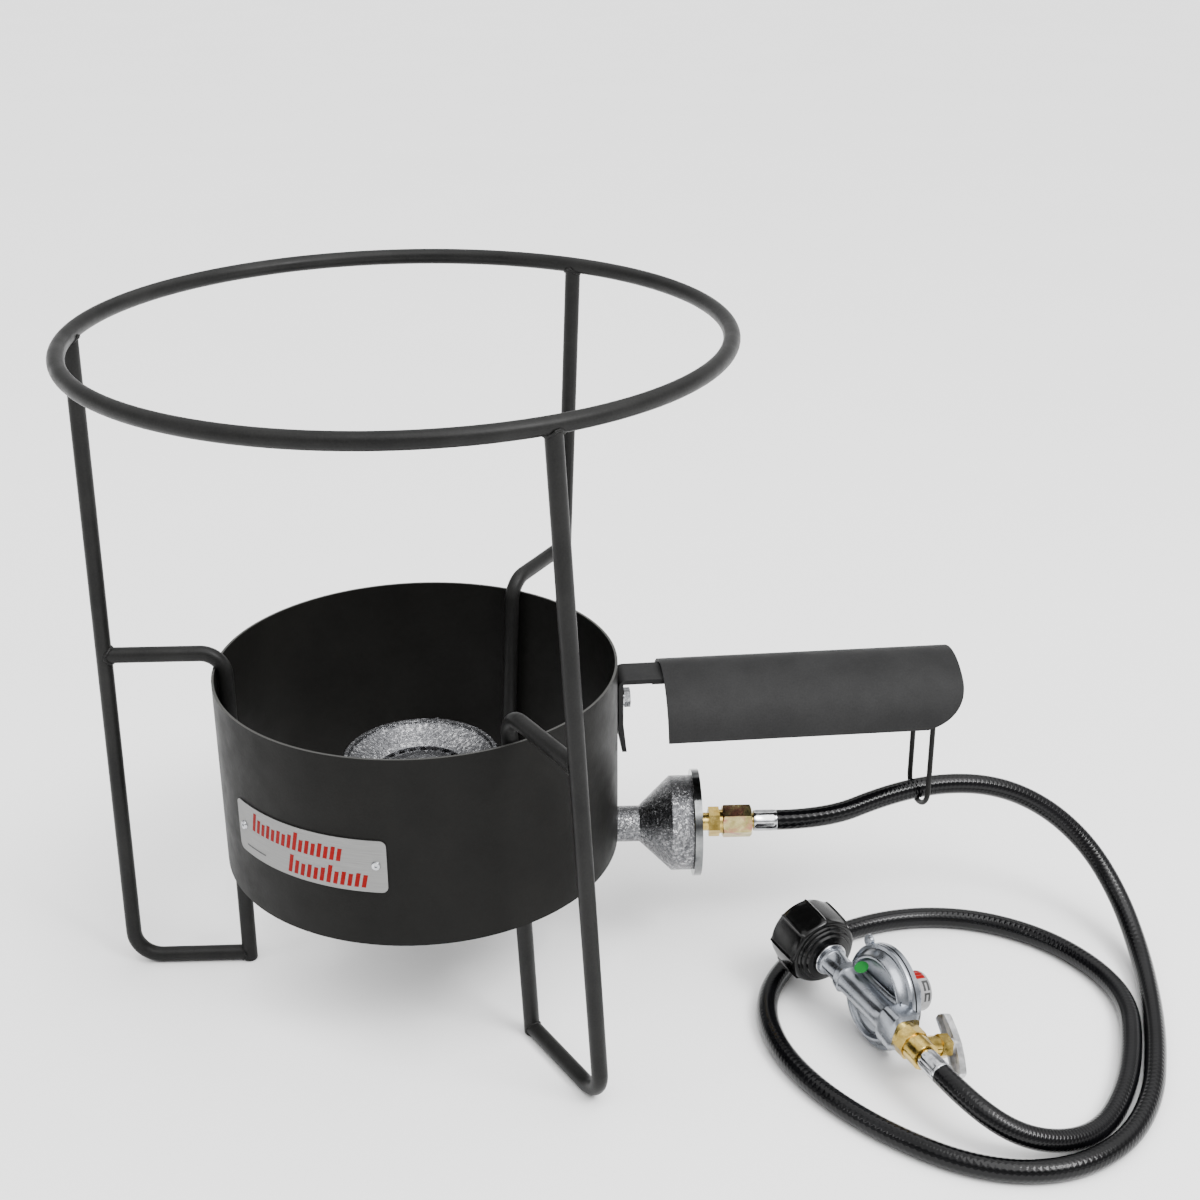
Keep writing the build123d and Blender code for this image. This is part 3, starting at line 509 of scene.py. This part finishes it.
def ferrule(axes, start, end):
    """Sleeve between two distances along the axes, eased at both ends."""
    profile = [(start, 5.2), (start, 6.2), (start + 0.5, 6.8), (start + 1.6, 6.85),
               (start + 2.2, 7.0), (end - 2.6, 7.0), (end - 1.8, 6.85), (end - 0.6, 6.9),
               (end, 6.6), (end, 5.2)]
    return axes.lathe(profile, shape=crimp_shape, segments=128)


valve_ferrule_start = 125.6
valve_ferrule_end = 140.95
for name, node, skin in (
    ("burner_crimp", "burner_ferrule", ferrule(tube, ferrule_start, ferrule_end)),
    ("valve_crimp", "valve_ferrule", ferrule(regulator, valve_ferrule_start, valve_ferrule_end)),
):
    piece = add_mesh(name, [skin], ferrule_zinc, angle=30)
    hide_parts(node)

# ---------------------------------------------------------------- cylinder hand nut
nut_back = -11.5
nut_panels = 8
panels_end = 15.0


def nut_shape(turn, along, radius):
    """Flat panels with a thin rib along each corner, which fade out at both ends."""
    nose_radius = 20.0
    corner_turn = 0.3
    rib_width = 0.035
    rib_height = 0.03
    panel_scale = 0.975
    panel_bulge = 0.75
    end_scale = 0.955
    if radius < nose_radius:
        return 1.0
    sector = (turn / (2 * pi) * nut_panels + corner_turn) % 1.0 - 0.5
    rib = rib_height * exp(-(sector / rib_width) ** 2)
    flat = cos(pi / nut_panels) / cos((0.5 - abs(sector)) * 2 * pi / nut_panels)
    panel = panel_scale * flat ** panel_bulge + rib
    front_fade = min(1.0, max(0.0, (panels_end - along) / 2.0))
    back_fade = min(1.0, max(0.0, (along - nut_back) / 1.2))
    return end_scale + front_fade * back_fade * (panel - end_scale)


nut_profile = [
    (nut_back, 17.6), (nut_back, 22.6), (-11.2, 23.6), (-10.3, 24.3), (-7.0, 24.6),
    (2.0, 24.6), (10.0, 24.3), (13.0, 24.0), (14.4, 23.6), (15.4, 22.8), (15.9, 21.6),
    # stepped nose
    (16.0, 20.6), (16.6, 20.3), (17.5, 20.1), (17.9, 19.5), (18.0, 18.3), (18.5, 18.0),
    (19.3, 17.8), (19.6, 17.2), (19.7, 15.9), (20.4, 15.6), (21.2, 15.3), (21.5, 14.6),
    (21.6, 13.2), (21.9, 12.6), (22.0, 11.8), (22.0, 9.6),
    # bore
    (14.0, 9.6), (14.0, 13.0), (8.0, 13.0), (8.0, 17.4), (-5.0, 17.4), (-5.0, 16.6),
    (-10.6, 16.6),
]
nut = add_mesh("tank_nut_grip",
               [regulator.lathe(nut_profile, segments=320, shape=nut_shape, closed=True)],
               nut_plastic, "tank_connector", angle=40)
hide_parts("tank_nut")

# ---------------------------------------------------------------- inlet
# A plated nose, a flange, the collar inside the nut, its lip in front and the plain stem.
gas_bore = 2.5
inlet_profile = [
    (-1.5, gas_bore), (-1.5, 6.1), (-1.1, 6.5), (9.0, 6.5),
    (9.0, 12.2), (9.3, 12.5), (13.2, 12.5), (13.5, 12.2),
    (13.5, 9.45), (24.1, 9.45), (24.4, 9.7), (25.6, 9.7), (26.0, 9.3),
    (26.4, 8.5), (27.0, 8.2), (38.4, 8.2), (39.6, 8.6), (39.6, gas_bore),
]
inlet = add_mesh("inlet_stem", [regulator.lathe(inlet_profile, closed=True)], die_cast,
                 angle=30)
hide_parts("inlet_fitting")
retainer_profile = [(22.5, 9.55), (22.5, 10.7), (22.8, 11.0), (23.6, 11.0), (23.9, 10.7),
                    (23.9, 9.55)]
retainer = add_mesh("retainer_ring", [regulator.lathe(retainer_profile, closed=True)],
                    ferrule_zinc, angle=30)
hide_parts("nut_retainer")

# ---------------------------------------------------------------- regulator casting
# The dish: its split face, the flange, the groove inside it and the domed web.
dish_profile = [
    (10.5, 0.5), (10.5, 32.2), (10.2, 32.6), (8.5, 32.6), (8.0, 32.3), (7.8, 31.7),
    (7.8, 30.2), (7.4, 29.4), (5.6, 28.2), (3.8, 27.2), (2.6, 26.7), (1.9, 26.0),
    (1.7, 25.2), (1.9, 24.5), (2.6, 23.9), (3.8, 23.3), (4.5, 22.4), (4.7, 21.0), (4.7, 0.5),
]
# The gas path: a collar at the inlet, a round barrel and a squared end at the valve.
duct_sections = [
    (39.5, 0, 0, 8.4, 8.4, 2.0),
    (39.9, 0, 0, 9.2, 9.2, 2.4),
    (44.6, 0, 0, 9.4, 9.5, 3.2),
    (45.1, 0, 0, 8.8, 9.0, 2.8),
    (47.0, 0, 0, 8.6, 8.7, 2.4),
    (56.0, 0, 0, 8.7, 8.6, 2.4),
    (74.0, 0, 0, 8.7, 8.6, 2.4),
    (81.0, 0, 0, 8.8, 8.8, 2.4),
    (86.5, 0.2, 0, 9.0, 9.3, 2.8),
    (88.6, 0.5, 0.3, 9.9, 11.2, 4.0),
    (89.6, 0.7, 0.5, 10.2, 11.9, 5.0),
    (101.6, 0.8, 0.5, 10.4, 12.1, 5.0),
    (102.3, 0.7, 0.4, 9.9, 11.5, 4.4),
    (103.5, 0.5, 0.2, 9.2, 10.5, 4.0),
]
# The fillet where the barrel runs into the dish.
skirt_sections = [
    (47.0, 3.6, 0, 1.6, 9.0, 2.0),
    (52.0, 3.4, 0, 2.4, 11.4, 2.0),
    (66.0, 3.4, 0, 2.6, 11.8, 2.0),
    (80.0, 3.4, 0, 2.4, 12.4, 2.0),
    (90.0, 3.6, 0, 1.8, 14.2, 2.0),
]
# The vent's drilled tab on the flange, and a moulding pip beside it.
vent_side = 22.8
vent_up = 25.9
tab_axes = Axes(disc.at(0, vent_side, vent_up), disc.along, disc.side)
tab_profile = [(7.8, 1.2), (7.8, 3.6), (8.2, 4.1), (10.0, 4.1), (10.4, 3.6), (10.4, 1.2)]
pip_axes = Axes(disc.at(0, 19.6, 28.6), disc.along, disc.side)
pip_profile = [(7.4, 0.1), (7.4, 2.4), (5.9, 2.2), (5.5, 1.6), (5.5, 0.1)]
casting_mesh = add_mesh("regulator_casting", [
    disc.lathe(dish_profile, segments=160),
    regulator.loft(duct_sections),
    regulator.loft(skirt_sections),
    tab_axes.lathe(tab_profile, segments=40, closed=True),
    pip_axes.lathe(pip_profile, segments=32),
], die_cast, angle=32)
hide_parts("regulator_body")

sticker_axes = Axes(disc.at(0, 12.9, 13.4), disc.along * 0.55 - disc.up * 0.83, disc.side)
sticker_profile = [(-1.0, 0.1), (-1.0, 4.3), (-1.3, 4.5), (-1.5, 4.4), (-1.5, 0.1)]
sticker = add_mesh("sticker", [sticker_axes.lathe(sticker_profile, segments=40)], green_ink,
                   angle=35)

# ---------------------------------------------------------------- valve lever
lever_turn = radians(lever_angle)
lever_axes = Axes(valve.origin, valve.along,
                  valve.side * cos(lever_turn) + valve.up * sin(lever_turn))


def lever_blade():
    """Tee blade, arched towards its tips and tapered to them: rounded in front, hollow behind."""
    half_length = 19.5
    middle_half_width = 4.9
    tip_narrowing = 0.9
    tip_rounding = 0.1       # share of the half length
    middle_height = 32.3
    arch = 2.2
    steps = 32
    outline = ((-1.0, -4.8), (-1.0, 0.3), (-0.82, 1.1), (-0.45, 1.5), (0.0, 1.6),
               (0.45, 1.5), (0.82, 1.1), (1.0, 0.3), (1.0, -4.8), (0.68, -4.8),
               (0.62, -1.0), (0.0, -0.8), (-0.62, -1.0), (-0.68, -4.8))
    skins = []
    for i in range(steps + 1):
        s = -1 + 2 * i / steps
        into_tip = max(0.0, abs(s) - (1 - tip_rounding)) / tip_rounding
        half_width = middle_half_width - tip_narrowing * abs(s) ** 1.5
        half_width *= sqrt(max(0.05, 1 - into_tip ** 2))
        height = middle_height - arch * s * s
        skins.append([lever_axes.at(height + rise, s * half_length, share * half_width)
                      for share, rise in outline])
    return rings(skins)


hub_profile = [(24.4, 2.7), (24.4, 4.6), (26.4, 5.0), (31.6, 5.0), (31.6, 2.7)]
lever = add_mesh("lever_blade",
                 [lever_blade(), lever_axes.lathe(hub_profile, segments=48, closed=True)],
                 lever_zinc, "valve_handle", angle=35)
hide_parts("valve_lever")

# ---------------------------------------------------------------- regulator cap
cap_axes = Axes(disc.origin, disc.along, disc.up)
cap_print_radius = 12.45
cap_profile = [(30.05, 10.4), (30.05, 12.2), (30.4, 12.5), (38.2, 12.5), (39.3, 12.2),
               (40.0, 11.2), (40.0, 0.1), (38.2, 0.1), (38.2, 10.4)]
cap = add_mesh("bonnet_cap_shell", [cap_axes.lathe(cap_profile)], white_label, angle=35)
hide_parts("bonnet_cap")
cap_patch = add_mesh("cap_patch", [cap_axes.mark(cap_print_radius, (31.0, 37.6), (-34, 16))],
                     red_ink, smooth=False)
cap_bars = add_mesh("cap_bars", [
    cap_axes.mark(cap_print_radius, along, turns) for along, turns in (
        ((33.2, 34.8), (24, 54)), ((36.2, 37.8), (24, 54)), ((34.8, 36.2), (24, 31)),
        ((33.2, 37.8), (60, 66)), ((36.2, 37.8), (66, 86)), ((33.2, 34.8), (66, 86)))],
    dark_ink, smooth=False)

# ---------------------------------------------------------------- name plate print
# Two rows of slanted bars: first azimuth, pitch in degrees, foot of the row, bar heights.
bar_turn = 1.2
bar_slant = 0.2
bars = []
for start, pitch, low, bar_heights in (
    (-139.2, 1.95, 143.0, (12.8, 9.6, 8.4, 9.4, 8.4, 9.2, 8.4, 9.6, 12.6, 8.4, 9.2, 8.4, 9.6,
                           8.4, 9.2, 8.6)),
    (-125.4, 2.02, 127.0, (12.4, 9.4, 8.4, 9.2, 8.4, 9.4, 12.2, 8.4, 9.2, 8.4, 9.4, 8.6)),
):
    for index, bar_height in enumerate(bar_heights):
        turn = start + index * pitch
        bars.append(upright.mark(print_radius, (low, low + bar_height), (turn, turn + bar_turn),
                                 slant=bar_slant, steps=3))
add_mesh("plate_bars", bars, red_ink, smooth=False)
add_mesh("plate_rule", [upright.mark(print_radius, (129.6, 130.5), (-142.5, -134.0))],
         dark_ink, smooth=False)


# ---------------------------------------------------------------- weld beads
def weld_bead(name, end, branch, main, thickness, seed):
    """Lumpy bead where the end of one bar meets the side of another of the same radius."""
    steps = 72
    sides = 10
    out_scale = 1.03         # the bead's line lies just outside the bar
    cope_scale = 0.94        # how far round the other bar the bead follows
    flatness = 0.72
    floor_gap = 0.05
    branch = Vector(branch).normalized()
    across = branch.cross(Vector(main)).normalized()
    main = across.cross(branch)
    sections = []
    for i in range(steps):
        turn = 2 * pi * i / steps
        s, m = cos(turn), sin(turn)
        out = across * s + main * m
        cope = rod_radius * sqrt(1 - (s * cope_scale) ** 2)
        centre = Vector(end) + out * rod_radius * out_scale - branch * cope
        lump = 1 + 0.22 * sin(9 * turn + seed) + 0.12 * sin(23 * turn + 2 * seed)
        normal = (out - branch * 0.8).normalized()
        side = normal.cross(main * s - across * m).normalized()
        section = []
        for j in range(sides):
            a = 2 * pi * j / sides
            point = centre + (normal * cos(a) * flatness + side * sin(a)) * thickness * lump
            point.z = max(point.z, floor_gap)
            section.append(point * MM)
        sections.append(section)
    add_mesh(name, [rings(sections, closed=True)], black)


def on_leg(radial, leg_way, distance, height):
    """Point this far out and this high, moved sideways as the leg leans."""
    middle = Vector((0, 0, lean_height))
    return radial * distance + middle + leg_way * ((height - lean_height) / cos(leg_lean))


# leg: azimuth in degrees, distance of its foot from the centre and height of its brace's arm
legs = {"left": (180.0, 195.1, 221.5), "front": (299.7, 202.0, 229.5),
        "rear": (60.0, 195.1, 221.5)}
joint_bead = 1.2
foot_bead = 0.7
for index, (leg, (azimuth, foot_radius, arm_height)) in enumerate(legs.items()):
    turn = radians(azimuth)
    radial = Vector((cos(turn), sin(turn), 0))
    tangent = Vector((-sin(turn), cos(turn), 0))
    leg_way = Vector((0, 0, cos(leg_lean))) - tangent * sin(leg_lean)
    spread = (foot_radius - leg_top_radius) / (ring_height - rod_radius)
    arm_radius = leg_top_radius + spread * (ring_height - arm_height)
    at_ring = on_leg(radial, leg_way, leg_top_radius, ring_height)
    at_arm = on_leg(radial, leg_way, arm_radius, arm_height)
    at_foot = on_leg(radial, leg_way, brace_radius, rod_radius)
    weld_bead(f"weld_ring_{leg}", at_ring, leg_way, tangent, joint_bead, index)
    weld_bead(f"weld_arm_{leg}", at_arm, radial, leg_way, joint_bead, index + 3)
    weld_bead(f"weld_foot_{leg}", at_foot, -radial, leg_way, foot_bead, index + 6)


# ---------------------------------------------------------------- carried-over nodes
def use(mat, *names):
    """Gives carried-over CAD nodes a material."""
    for name in names:
        for slot in nodes[name].material_slots:
            slot.material = mat


use(black, "pot_ring", "leg_left", "leg_front", "leg_rear", "brace_left", "brace_front",
    "brace_rear", "burner_support", "hose_hanger")
use(shield_paint, "windshield")
use(guard_paint, "guard_bracket", "hose_guard")
use(plate, "name_plate")
use(zinc, "plate_rivets", "guard_lock_washer", "guard_bolt", "guard_nut", "burner_bolt",
    "burner_washer", "diaphragm_plate", "regulator_spring", "lever_screw")
use(rim_steel, "air_shutter")
use(cast_silver, "burner_body", "burner_cap")
use(brass, "orifice_fitting", "hose_stem", "valve_body", "packing_nut", "valve_ball",
    "valve_tail")
use(yellow_zinc, "swivel_nut")
use(die_cast, "regulator_bonnet", "spring_screw")
use(seal_rubber, "inlet_seal", "diaphragm")

# ---------------------------------------------------------------- floor
floor_half = 30.0
floor_graph = Graph("floor")
floor_graph.base(floor_graph.colours(floor_graph.noise(3.0), (0.3, (0.90, 0.90, 0.90)),
                                     (0.7, (0.92, 0.92, 0.92))))
floor_graph.set(Roughness=0.9)
floor_mesh = bpy.data.meshes.new("floor")
floor_mesh.from_pydata([(x * floor_half, y * floor_half, 0)
                        for x, y in ((-1, -1), (1, -1), (1, 1), (-1, 1))], [], [(0, 1, 2, 3)])
floor_mesh.materials.append(floor_graph.mat)
floor = bpy.data.objects.new("floor", floor_mesh)
scene.collection.objects.link(floor)

# ---------------------------------------------------------------- sky
# Pale at the horizon, a darker band above it and bright overhead, brighter to the right.
sky_bands = ((0.0, 0.66), (0.17, 0.60), (0.32, 0.15), (0.46, 0.30), (0.75, 1.0))
left_strength = 1.7
right_strength = 2.5
world = bpy.data.worlds.new("studio")
world.use_nodes = True
tree = world.node_tree
sky = tree.nodes.new("ShaderNodeSeparateXYZ")
tree.links.new(tree.nodes.new("ShaderNodeTexCoord").outputs["Generated"], sky.inputs[0])
heights = tree.nodes.new("ShaderNodeValToRGB")
heights.color_ramp.interpolation = "EASE"
while len(heights.color_ramp.elements) < len(sky_bands):
    heights.color_ramp.elements.new(0.5)
for element, (at, value) in zip(heights.color_ramp.elements, sky_bands):
    element.position = at
    element.color = (value, value, value, 1.0)
tree.links.new(sky.outputs["Z"], heights.inputs["Fac"])
across = tree.nodes.new("ShaderNodeMapRange")
for key, number in (("From Min", -0.7), ("From Max", 0.6), ("To Min", left_strength),
                    ("To Max", right_strength)):
    across.inputs[key].default_value = number
tree.links.new(sky.outputs["X"], across.inputs["Value"])
strength = tree.nodes.new("ShaderNodeMath")
strength.operation = "MULTIPLY"
tree.links.new(heights.outputs["Color"], strength.inputs[0])
tree.links.new(across.outputs["Result"], strength.inputs[1])
backdrop = tree.nodes["Background"]
backdrop.inputs["Color"].default_value = (1.0, 1.0, 1.0, 1.0)
tree.links.new(strength.outputs[0], backdrop.inputs["Strength"])
scene.world = world


# ---------------------------------------------------------------- lamps
def aimed(name, data, way):
    """A lamp that shines along a direction."""
    lamp = bpy.data.objects.new(name, data)
    scene.collection.objects.link(lamp)
    lamp.rotation_euler = Vector(way).to_track_quat("-Z", "Y").to_euler()
    return lamp


def area_light(name, place, size, power):
    """A rectangular lamp at a place, aimed at the object."""
    target = Vector((0.1, 0, 0.15))
    data = bpy.data.lights.new(name, "AREA")
    data.shape = "RECTANGLE"
    data.size, data.size_y = size
    data.energy = power
    aimed(name, data, target - Vector(place)).location = place


sun_data = bpy.data.lights.new("soft_sun", "SUN")
sun_data.energy = 2.9
sun_data.angle = radians(60)
aimed("soft_sun", sun_data, (-0.25, 0.3, -1.0))
area_light("key", (1.3, -1.0, 1.9), (0.8, 0.8), 42)
area_light("fill", (-1.9, -0.9, 1.3), (0.25, 1.2), 6)
